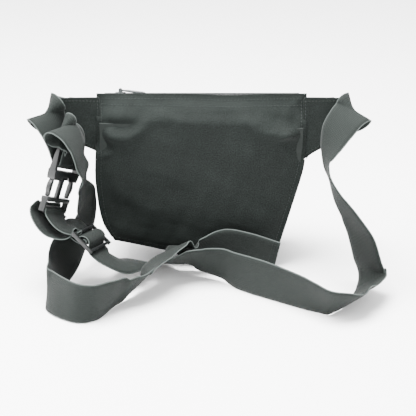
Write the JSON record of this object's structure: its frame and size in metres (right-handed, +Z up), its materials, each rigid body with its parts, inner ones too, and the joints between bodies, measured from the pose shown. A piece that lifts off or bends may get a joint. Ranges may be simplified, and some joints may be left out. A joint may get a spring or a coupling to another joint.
{
  "type": "waist pack",
  "caption": "Soft waist pack with a zipped main compartment, a zipped front pocket and webbing belts joined by a side-release buckle with a strap adjuster.",
  "frame": {"origin": "Middle of the pack's footprint (its wings, walls and pocket, without the belts and buckle), at the ground.", "axes": "+X runs from the left wing to the right one as seen from the padded back, +Y from the back panel to the front pocket, +Z up to the zip."},
  "size_m": [0.3364, 0.2147, 0.1807],
  "materials": {
    "body_fabric": "plain woven canvas, matte",
    "lining": "thin plain lining",
    "foam": "padding",
    "webbing": "ribbed webbing, matte",
    "zip_tape": "woven tape",
    "zip_coil": "coil",
    "plastic": "moulded, semi-matte",
    "zip_metal": "dark coated metal"
  },
  "bodies": {
    "pack": {"back_panel": "body_fabric", "front_panel": "body_fabric", "left_gusset": "body_fabric", "right_gusset": "body_fabric", "base_panel": "body_fabric", "top_panel": "body_fabric", "left_wing_rear": "body_fabric", "left_wing_front": "body_fabric", "right_wing_rear": "body_fabric", "right_wing_front": "body_fabric", "pocket_panel": "body_fabric", "pocket_hood": "body_fabric", "back_foam": "foam", "back_lining": "lining", "main_zip_tape_rear": "zip_tape", "main_zip_tape_front": "zip_tape", "pocket_zip_tape_rear": "zip_tape", "pocket_zip_tape_front": "zip_tape", "main_zip_coil_rear": "zip_coil", "main_zip_coil_front": "zip_coil", "pocket_zip_coil_rear": "zip_coil", "pocket_zip_coil_front": "zip_coil", "main_zip_stop_left": "zip_metal", "main_zip_stop_right": "zip_metal", "pocket_zip_stop_left": "zip_metal", "pocket_zip_stop_right": "zip_metal", "buckle_receiver": "plastic", "strap_adjuster": "plastic", "belt_left": "webbing", "belt_right": "webbing"},
    "main_slider": {"main_zip_slider": "zip_metal"},
    "main_puller": {"main_zip_puller": "zip_metal"},
    "pocket_slider": {"pocket_zip_slider": "zip_metal"},
    "pocket_puller": {"pocket_zip_puller": "zip_metal"},
    "plug": {"buckle_plug": "plastic"},
    "far_arm": {"plug_arm_far": "plastic"},
    "near_arm": {"plug_arm_near": "plastic"}
  },
  "joints": [
    {"name": "main_zip_slide", "type": "slide", "parent": "pack", "child": "main_slider", "axis": [1, 0, 0], "range_m": [0, 0.155]},
    {"name": "main_puller_swing", "type": "hinge", "parent": "main_slider", "child": "main_puller", "pos_m": [-0.078, -0.01883, 0.17536], "axis": [0, 0.9928, -0.1197], "range_deg": [-150, 0]},
    {"name": "pocket_zip_slide", "type": "slide", "parent": "pack", "child": "pocket_slider", "axis": [-1, 0, 0], "range_m": [0, 0.098]},
    {"name": "pocket_puller_swing", "type": "hinge", "parent": "pocket_slider", "child": "pocket_puller", "pos_m": [0.043, 0.0438, 0.097], "axis": [0, 0, -1], "range_deg": [0, 150]},
    {"name": "plug_release", "type": "slide", "parent": "pack", "child": "plug", "axis": [-0.3001, -0.3001, -0.9054], "range_m": [0, 0.028], "deforming": ["belt_right"]},
    {"name": "far_arm_squeeze", "type": "hinge", "parent": "plug", "child": "far_arm", "pos_m": [-0.12961, -0.05847, 0.08095], "axis": [0.8827, -0.4471, -0.1444], "range_deg": [0, 14.2], "stiffness_Nm_per_rad": 0.02},
    {"name": "near_arm_squeeze", "type": "hinge", "parent": "plug", "child": "near_arm", "pos_m": [-0.1432, -0.09015, 0.09596], "axis": [-0.8827, 0.4471, 0.1444], "range_deg": [0, 14.2], "stiffness_Nm_per_rad": 0.02}
  ],
  "couplings": [
    {"joint": "far_arm_squeeze", "follows": "plug_release", "rad_per_m": 8.7266},
    {"joint": "near_arm_squeeze", "follows": "plug_release", "rad_per_m": 8.7266}
  ]
}
